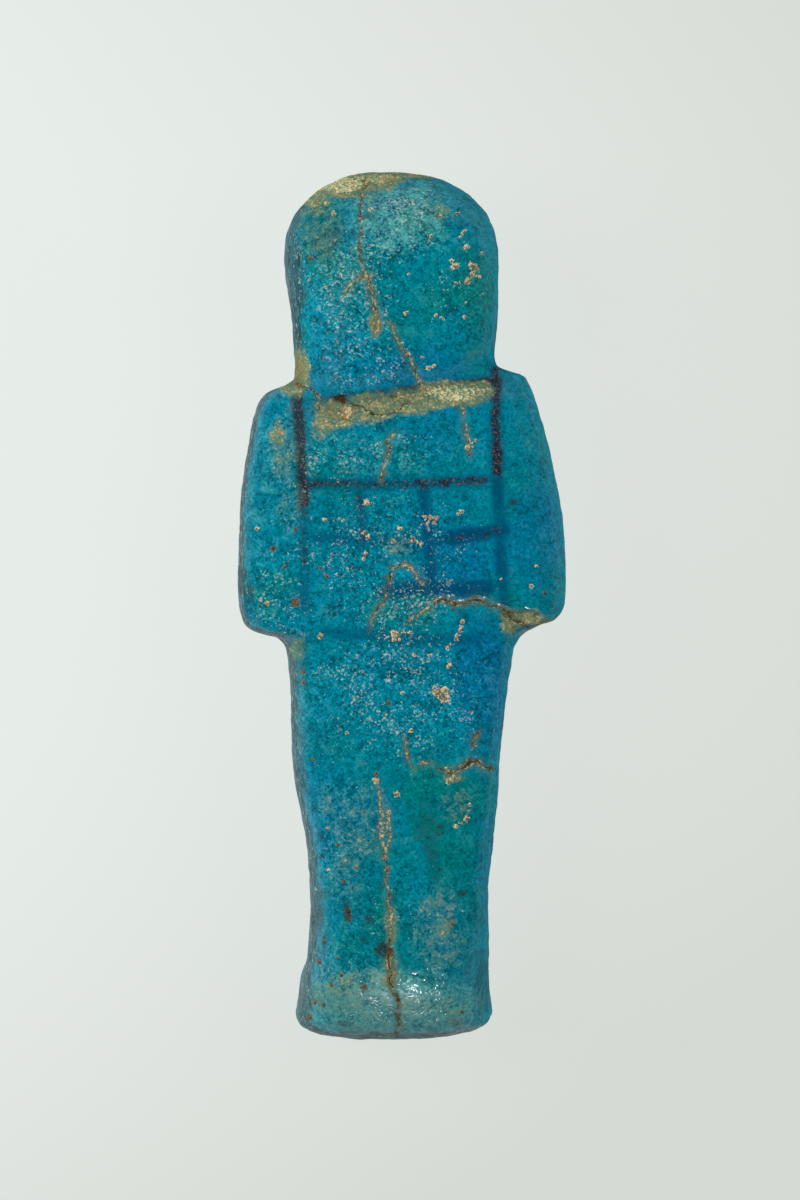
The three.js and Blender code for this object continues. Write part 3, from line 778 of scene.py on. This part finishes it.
class Glaze(Graph):
    """The figurine's material, laid on coat by coat. The noises that coats share run from -0.5 to 0.5."""

    def __init__(self, settings):
        super().__init__(SLOT)
        self.settings = settings
        self.cell = self.cells(0.2, 1) - 0.5
        self.big_cell = self.cells(0.42, 9) - 0.5
        self.grain = self.noise(0.36, 2, 2, 0.65) - 0.5
        self.middling = self.noise(0.95, 2, 3, 0.6) - 0.5
        self.patchy = self.noise(2.4, 3, 4, 0.65) - 0.5
        self.cloudy = self.noise(7.0, 2, 5) - 0.5
        self.drifting = self.noise(11.0, 1, 6) - 0.5
        self.granular = self.grain * 1.3 + self.cell * 0.35 + self.big_cell * 0.25
        self.tint = settings.turquoise

    def coat(self, share, tint):
        """Lays a colour over what is there, thinly where the share is low and alone where it is 1."""
        self.tint = self.mix(share, self.tint, tint)

    def sound_glaze(self):
        """The greener, bluer, thinner and duller areas of the glaze, and its fine unevenness."""
        colours, middling, patchy, granular = self.settings, self.middling, self.patchy, self.granular
        greener = self.field("green") + self.cloudy * 2.0 + patchy * 1.4 + middling * 0.7
        self.coat(greener.step(-0.15, 1.0), colours.teal)
        bluer = self.field("deep") + self.drifting * 1.1 + patchy
        self.coat(bluer.step(0.0, 1.1), colours.blue)
        thin = self.field("pale") * 0.8 + patchy * 1.6 + middling * 0.9 + granular * 0.3
        self.coat(thin.step(0.1, 1.1) * 0.85, colours.pale)
        dull = self.field("dark") + patchy * 1.4 + granular * 0.5
        self.coat(dull.step(0.2, 1.0) * 0.85, colours.shade)
        shading = patchy * 0.9 + middling * 0.8 + self.grain * 1.2 + self.cell * 0.45 + self.big_cell * 0.3
        strength = self.field("specks") * 0.6 + 1.05
        self.tint = self.brighten(self.tint, (shading * strength + 1.0).maximum(0.4))

    def pooling_and_relief_shading(self):
        """Glaze that gathered in the hollows and drew off the ridges of the front, darker in the hollows
        and paler on the ridges, which is also painted shade and painted highlight that bring out the
        relief.
        """
        bend = self.field("bend")
        self.coat((bend + self.granular * 0.05).step(0.03, 0.5) * 0.7, self.settings.line_blue)
        ridge = (self.granular * 0.1 - bend).step(0.18, 0.7)
        self.coat(ridge * self.field("faces_down") * 0.6, self.settings.pale)

    def painted_light_on_steep_sides(self):
        """Painted shade on the steep sides, darkest away from the light, with painted greyish reflections,
        dark streaks of painted shade and bright streaks of painted highlight that run along the figurine.
        """
        colours, granular = self.settings, self.granular
        drawn_out = {0: self.place, 1: (1.0, 0.2, 1.0)}
        drawn_out = self.add("ShaderNodeVectorMath", {"operation": "MULTIPLY"}, drawn_out)
        streaks = self.noise(0.33, roughness=0.7, place=drawn_out) - 0.5
        steep = self.field("steep").maximum(self.field("wall_sheen_and_shade"))
        ragged = (self.patchy * 1.4 + self.cloudy * 1.2) * steep.step(0.0, 0.25)
        self.steep = steep = (steep + ragged).step(0.1, 0.95)
        self.lit_side = lit_side = self.field("lit_side")
        # Painted shade: the edge colour on the side away from the light, the shade colour on the lit side.
        self.coat(steep * (lit_side * 0.18 + 0.5), self.mix(lit_side, colours.edge, colours.shade))
        # Painted reflection of the pale surroundings, in streaks, strongest on the lit side.
        reflection_streak = (streaks * 3.4 + granular).step(0.1, 0.4) * steep * (lit_side * 0.7 + 0.3)
        self.coat(reflection_streak * 0.75, colours.wall_sheen_and_shade)
        # Painted shade in dark streaks.
        shade_streak = (granular * 1.4 - streaks * 3.4).step(0.05, 0.4) * steep
        self.coat(shade_streak * (lit_side * 0.5 + 0.35), colours.soil_and_shade)
        # Painted highlight: bright streaks in the quartz colour, on the lit side only.
        highlight_streak = (streaks * 2.0 + granular * 1.8).step(0.45, 0.75) * steep * lit_side
        self.coat(highlight_streak * 0.62, colours.quartz)

    def painting(self):
        """The painted lines of the back and the front, and the blue that ran from them into the glaze."""
        colours, middling, patchy, granular = self.settings, self.middling, self.patchy, self.granular
        run = self.field("line_blue") + patchy * 1.2 + middling * 1.1 + granular * 0.35
        self.coat(run.step(0.1, 1.05) * 0.85, colours.line_blue)
        line = self.field("manganese")
        broken = (patchy * 0.9 + middling * 1.1 + granular * 0.7) * line.step(0.0, 0.3)
        self.dark_line = (line + broken).step(0.3, 0.95)
        grains = ((self.noise(0.27, 2, 24, 0.7) - 0.5) * 2.2 + self.cell * 0.9).step(0.22, 0.48)
        paint = self.mix(grains * 0.85, colours.manganese, colours.line_grain)
        self.coat(self.dark_line * 0.84, paint)
        front_line = (self.field("front_paint") + middling * 0.4 + granular * 0.4).step(0.35, 0.75)
        self.coat(front_line * 0.93, paint)

    def grains_and_pores(self):
        """Grains of quartz, pores and specks of rust."""
        colours = self.settings
        clusters = (self.noise(1.6, 2, 41, 0.7) - 0.5) * 0.3 + self.cloudy * 0.2
        density = self.field("specks") * 0.15 + clusters
        small = (self.cells(0.22, 42) * 0.42 + density).step(0.5, 0.57)
        large = (self.noise(0.3, 2, 43, 0.75) + density).step(0.74, 0.84)
        quartz = self.mix(self.big_cell.step(0.24, 0.36) * 0.8, colours.quartz, colours.cream)
        self.coat((small * 0.65).maximum(large * 0.85) * (self.big_cell + 1.0) * 0.7, quartz)
        pores = (self.noise(0.26, 2, 45, 0.7) + density * 0.25).step(0.68, 0.76)
        self.coat(pores * 0.5, colours.soil_and_shade)
        rust = (self.noise(0.4, 2, 46, 0.75) + density * 0.45).step(0.76, 0.84)
        self.coat(rust * 0.8, colours.ochre)

    def weathering(self):
        """Patches that have weathered to olive, and to the bare body in their middle."""
        colours, grain, middling, granular = self.settings, self.grain, self.middling, self.granular
        patch = self.field("tan")
        weather = patch + (middling + self.patchy * 0.9) * patch.step(0.0, 0.25)
        self.fringe = (weather + granular * 0.45 * patch.step(0.0, 0.2)).step(0.0, 0.8)
        self.coat(self.fringe * 0.85, colours.olive)
        bare = (weather + granular * 0.9).step(0.4, 1.05)
        body = self.mix((middling + granular * 0.6).step(-0.12, 0.22), colours.olive, colours.tan)
        rust = self.field("rusty")
        rusty = (rust + granular * 0.6 + middling * 0.84).step(0.25, 1.1)
        body = self.mix(rusty * 0.75, body, colours.ochre)
        fresh = (patch - 0.95).step(0.0, 0.35) * 0.36 + rust.step(0.95, 1.3) * 0.4
        body_grain = self.cell * 0.7 + grain * 1.2 + fresh
        body = self.mix(body_grain.step(0.22, 0.5) * 0.65, body, colours.cream)
        body = self.mix(self.noise(0.33, 1, 25, 0.7).step(0.58, 0.68) * 0.7, body, colours.shade)
        body = self.mix(self.noise(0.6, 1, 22, 0.6).step(0.6, 0.7) * 0.6, body, colours.ochre)
        body = self.brighten(body, middling * 0.5 + grain * 0.3 + self.cell * 0.3 + fresh * 1.3 + 1.0)
        self.coat(bare * 0.92, body)

    def cracks(self):
        """Open cracks with rough stained lips, a dark edge to the lips and a stain around them."""
        colours, granular = self.settings, self.granular
        wobble = (self.noise(0.8, 2, 11) - 0.5) * 8 + (self.noise(2.6, 1, 12) - 0.5) * 7 + self.cell * 1.6
        side = abs(self.field("crack_side") + wobble)
        rough_side = side - self.grain * 5
        near = self.field("crack_near")
        width = self.field("crack_width")
        close = 1 - near.step(3.5, 6.5)
        kept = (self.noise(1.1, 2, 15, 0.7) + width * 0.05).step(0.44, 0.58) * close
        opened = (self.noise(1.3, 2, 13) + self.field("crack_open") * 0.3).step(0.6, 0.7) * close
        core = (1 - (side / (width * 0.16 + 0.5)).step(0.5, 1.3)) * opened
        lips = (1 - (rough_side / (width * 0.42 + 0.3)).step(0.4, 1.5)) * kept
        self.edge = (1 - (rough_side / (width * 0.75 + 1.4)).step(0.5, 1.4)) * kept
        stain = 1 - ((near + self.grain * 26) / (width * 1.8 + 2.0)).step(0.0, 1.2)
        self.coat(stain * self.field("crack_stain") * 0.45, colours.olive)
        self.coat(self.edge * 0.4, colours.soil_and_shade)
        brown = (self.noise(0.9, 2, 23) + granular * 0.2).step(0.5, 0.66)
        self.coat(lips * 0.85, self.mix(brown, colours.tan, colours.ochre))
        self.coat(lips * (granular + 0.05).step(0.1, 0.3) * 0.7, colours.cream)
        self.coat(core * 0.9, colours.soil_and_shade)

    def pits(self):
        """Pits with a broken rim of pale body or of rust, and painted shade in the hollow, off their
        middle.
        """
        colours, granular = self.settings, self.granular
        near = self.field("pit_near")
        radius = self.field("pit_radius")
        across = self.field("pit_across") + (self.noise(0.5, 2, 31, 0.7) - 0.5) * radius * 2.8
        along = self.field("pit_along") + (self.noise(0.5, 2, 32, 0.7) - 0.5) * radius * 2.8
        close = 1 - (near - radius * 1.4).step(1.0, 3.0)
        inside = (1 - (hypotenuse(across, along) / radius).step(0.6, 1.3)) * close
        self.rim = (inside + granular * 1.7 * inside.step(0.0, 0.2)).step(0.4, 0.75)
        # Painted shade: the dark hollow sits off the pit's middle, on one side.
        middle = hypotenuse(across - radius * 0.2, along - radius * 0.25) / radius
        hollow = (1 - middle.step(0.3, 0.75)) * close * (1 - radius.step(3.2, 4.4) * 0.6)
        pale = self.field("pit_pale")
        fleck = (self.noise(0.45, 2, 26, 0.7) - 0.5 + granular * 0.25).step(0.0, 0.14)
        pale_tint = self.mix(fleck * 0.75, self.brighten(colours.cream, self.grain + 1.05), colours.ochre)
        brown_tint = self.mix(fleck * 0.7, colours.ochre, colours.soil_and_shade)
        self.coat(self.rim * (pale * 0.1 + 0.8), self.mix(pale, brown_tint, pale_tint))
        self.coat(hollow * 0.8, colours.soil_and_shade)

    def dirt_and_shade(self):
        """Dark dirt, and painted shade in the deepest places, such as under the wig's step and at the lower
        edge of the elbow break.
        """
        dirt_and_shade = self.field("dirt_and_shade")
        ragged = (self.granular * 2.2 + self.middling * 2.6) * dirt_and_shade.step(0.0, 0.3)
        self.coat((dirt_and_shade + ragged).step(0.5, 1.3) * 0.75, self.settings.soil_and_shade)

    def shine(self):
        """Glossy where the glaze is sound, dull where it has weathered and on the steep sides."""
        matt = self.fringe.maximum(self.edge).maximum(self.rim).maximum(self.field("matt"))
        roughness = matt * 0.6 + self.steep * 0.2 + self.dark_line * 0.1 + self.patchy * 0.15
        roughness = (roughness + self.settings.gloss).maximum(0.08)
        rough_grain = self.field("tan") * 0.05 + self.field("pale") * 0.04 + 0.035
        relief = self.middling * 0.15 + (self.grain + 0.5) * rough_grain + self.cell * 0.004
        bump = {"Strength": 1.0, "Distance": MILLIMETRE, "Height": relief}
        both = {"Base Color": self.tint, "Normal": self.add("ShaderNodeBump", None, bump, "Normal")}
        glossy = {**both, "Roughness": roughness, "Specular IOR Level": 0.36}
        glossy = self.add("ShaderNodeBsdfPrincipled", None, glossy, "BSDF")
        dull = {**both, "Roughness": 1.0, "Specular IOR Level": 0.0}
        dull = self.add("ShaderNodeBsdfPrincipled", None, dull, "BSDF")
        dullness = (matt * 0.8).maximum((0.9 - self.lit_side * 0.4) * self.steep)
        dullness = dullness.maximum(self.field("tilted") * 0.9)
        self.finish(self.add("ShaderNodeMixShader", None, {0: dullness, 1: glossy, 2: dull}, "Shader"))


def glaze_material(settings):
    """Turquoise glaze with its painting, quartz grains, stains, cracks, pits and weathered patches, and
    painted shade, reflections and highlights on the steep sides and in the hollows.
    """
    glaze = Glaze(settings)
    glaze.sound_glaze()
    glaze.pooling_and_relief_shading()
    glaze.painted_light_on_steep_sides()
    glaze.painting()
    glaze.grains_and_pores()
    glaze.weathering()
    glaze.cracks()
    glaze.pits()
    glaze.dirt_and_shade()
    glaze.shine()
    return glaze.material


class FIGURINE_OT_figure(bpy.types.Operator):
    """Model the finished surface of the figurine from its solid"""

    bl_idname = "figurine.figure"
    bl_label = "Figurine"

    def execute(self, context):
        settings = context.scene.figurine_surface
        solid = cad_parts[NODE]
        mesh = solid.data.copy()
        figure = bpy.data.objects.new("glazed_figure", mesh)
        context.collection.objects.link(figure)
        make_active(figure)
        bpy.ops.object.mode_set(mode="EDIT")
        bpy.ops.mesh.select_all(action="SELECT")
        bpy.ops.mesh.remove_doubles(threshold=0.000002)
        bpy.ops.object.mode_set(mode="OBJECT")
        apply_modifier(figure, "REMESH", mode="VOXEL", voxel_size=settings.grain)
        apply_modifier(figure, "SMOOTH", factor=0.5, iterations=settings.softening)
        surface = Surface(figure.data)
        surface.move(surface.noise(6.5, 1) * settings.lumps / MILLIMETRE)
        ripples = surface.noise(1.7, 2) + 0.5 * surface.noise(0.9, 8)
        on_walls = 1 + 1.5 * (1 - smooth_step(0.3, 0.8, np.abs(surface.normals[:, 2])))
        surface.move(ripples * on_walls * settings.ripples / MILLIMETRE)
        carve_front(surface)
        break_elbow(surface, settings)
        marks = BackMarks(surface)
        marks.carve(surface, settings)
        keep_inside(surface)
        marks.store(surface)
        paint_front(surface)
        make_active(figure)
        bpy.ops.object.shade_smooth()
        figure.data.materials.clear()
        figure.data.materials.append(glaze_material(context.scene.figurine_glaze))
        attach(figure, "root")
        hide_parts(NODE)
        deselect()
        return {"FINISHED"}


# The side lights: name, side and share of the power. The small lights for the glints on the foot and on the
# left shoulder, in metres: name, place, size, share of the power and the place that they face.
SIDE_LIGHTS = (("left_light", -1, 1.25), ("right_light", 1, 0.72))
GLINT_LIGHTS = (
    ("foot_light", (0.01, -0.42, 0.36), (0.06, 0.045), 1.8, (0, -0.04, 0.02)),
    ("shoulder_light", (-0.36, 0.3, 0.4), (0.045, 0.035), 1.0, (-0.02, 0.02, 0.02)),
)


def add_light(name, place, size, power, target=(0, 0, 0.01), glint=False):
    """A rectangular light that faces its target, unseen itself. A glint light only shows in the gloss."""
    bpy.ops.object.light_add(type="AREA", location=place)
    light = bpy.context.object
    light.name = name
    light.data.shape = "RECTANGLE"
    light.data.size, light.data.size_y = size
    light.data.energy = power
    light.rotation_euler = (Vector(target) - Vector(place)).to_track_quat("-Z", "Y").to_euler()
    light.visible_camera = False
    light.visible_glossy = glint
    light.visible_diffuse = not glint


def floor_material(settings):
    """A pale floor that is nearly shadowless, a little darker towards one corner."""
    graph = Graph("pale_floor")
    parts = graph.tree.nodes.new("ShaderNodeSeparateXYZ")
    graph.tree.links.new(graph.place.socket, parts.inputs[0])
    across, along = Value(graph, parts.outputs["X"]), Value(graph, parts.outputs["Y"])
    share = across * 7.8 - along * 3.2 + along * along * 66 + 0.325
    tint = graph.mix(share, settings.floor_near, settings.floor_far)
    matt = graph.add("ShaderNodeBsdfDiffuse", None, {"Color": tint}, "BSDF")
    lit = graph.add("ShaderNodeEmission", None, {"Color": tint, "Strength": 1.0}, "Emission")
    graph.finish(graph.add("ShaderNodeMixShader", None, {0: 0.92, 1: matt, 2: lit}, "Shader"))
    return graph.material


def add_sky(strength):
    """Light from all around, brighter towards the horizon than overhead."""
    world = bpy.data.worlds.new("studio")
    world.use_nodes = True
    bpy.context.scene.world = world
    nodes, links = world.node_tree.nodes, world.node_tree.links
    coordinate = nodes.new("ShaderNodeTexCoord")
    parts = nodes.new("ShaderNodeSeparateXYZ")
    ramp = nodes.new("ShaderNodeValToRGB")
    ramp.color_ramp.elements[0].position = 0.0
    ramp.color_ramp.elements[0].color = (0.80, 0.83, 0.81, 1)
    ramp.color_ramp.elements[1].position = 0.5
    ramp.color_ramp.elements[1].color = (0.0, 0.0, 0.0, 1)
    links.new(coordinate.outputs["Generated"], parts.inputs[0])
    links.new(parts.outputs["Z"], ramp.inputs["Fac"])
    links.new(ramp.outputs["Color"], nodes["Background"].inputs["Color"])
    nodes["Background"].inputs["Strength"].default_value = strength


class FIGURINE_OT_stage(bpy.types.Operator):
    """Lay out the floor, the lights and the camera"""

    bl_idname = "figurine.stage"
    bl_label = "Stage"

    def execute(self, context):
        settings = context.scene.figurine_stage
        deselect()
        bpy.ops.mesh.primitive_plane_add(size=4, location=(0, 0, 0))
        floor = context.object
        floor.name = "floor"
        floor.data.materials.append(floor_material(settings))
        add_sky(settings.sky)
        for name, side, share in SIDE_LIGHTS:
            add_light(name, (side * 0.5, 0.1, 0.42), (0.35, 0.6), settings.side_power * share)
        for name, place, size, share, target in GLINT_LIGHTS:
            add_light(name, place, size, settings.glint_power * share, target, glint=True)
        camera = bpy.data.objects.new("camera", bpy.data.cameras.new("camera"))
        context.collection.objects.link(camera)
        field = PHOTO_SIZE[1] / PIXELS_PER_MM
        camera.data.sensor_width = SENSOR
        camera.data.lens = SENSOR * (CAMERA_HEIGHT - OUTLINE_LEVEL) / field
        camera.data.clip_start, camera.data.clip_end = 0.01, 10
        camera.matrix_world = Matrix.Translation(Vector((CAMERA_X, CAMERA_Y, CAMERA_HEIGHT)) * MILLIMETRE)
        context.scene.camera = camera
        context.scene.view_settings.view_transform = "Standard"
        deselect()
        return {"FINISHED"}


class FIGURINE_PT_panel(bpy.types.Panel):
    """The figurine's operators, sizes and colours"""

    bl_idname = "FIGURINE_PT_panel"
    bl_label = "Figurine"
    bl_space_type = "VIEW_3D"
    bl_region_type = "UI"
    bl_category = "Figurine"

    def draw(self, context):
        for operator, group in OPERATORS:
            self.layout.operator(operator)
            for name in group:
                settings = getattr(context.scene, name)
                for key in settings.bl_rna.properties.keys():
                    if key not in ("rna_type", "name"):
                        self.layout.prop(settings, key)


OPERATORS = (
    ("figurine.figure", ("figurine_surface", "figurine_glaze")),
    ("figurine.stage", ("figurine_stage",)),
)
GROUPS = {
    "figurine_surface": FigurineSurface,
    "figurine_glaze": FigurineGlaze,
    "figurine_stage": FigurineStage,
}
CLASSES = (*GROUPS.values(), FIGURINE_OT_figure, FIGURINE_OT_stage, FIGURINE_PT_panel)


def register():
    for kind in CLASSES:
        bpy.utils.register_class(kind)
    for name, kind in GROUPS.items():
        setattr(bpy.types.Scene, name, PointerProperty(type=kind))


def unregister():
    for name in GROUPS:
        delattr(bpy.types.Scene, name)
    for kind in reversed(CLASSES):
        bpy.utils.unregister_class(kind)


def main():
    register()
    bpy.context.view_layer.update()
    bpy.ops.figurine.figure()
    bpy.ops.figurine.stage()


if __name__ == "__main__":
    main()
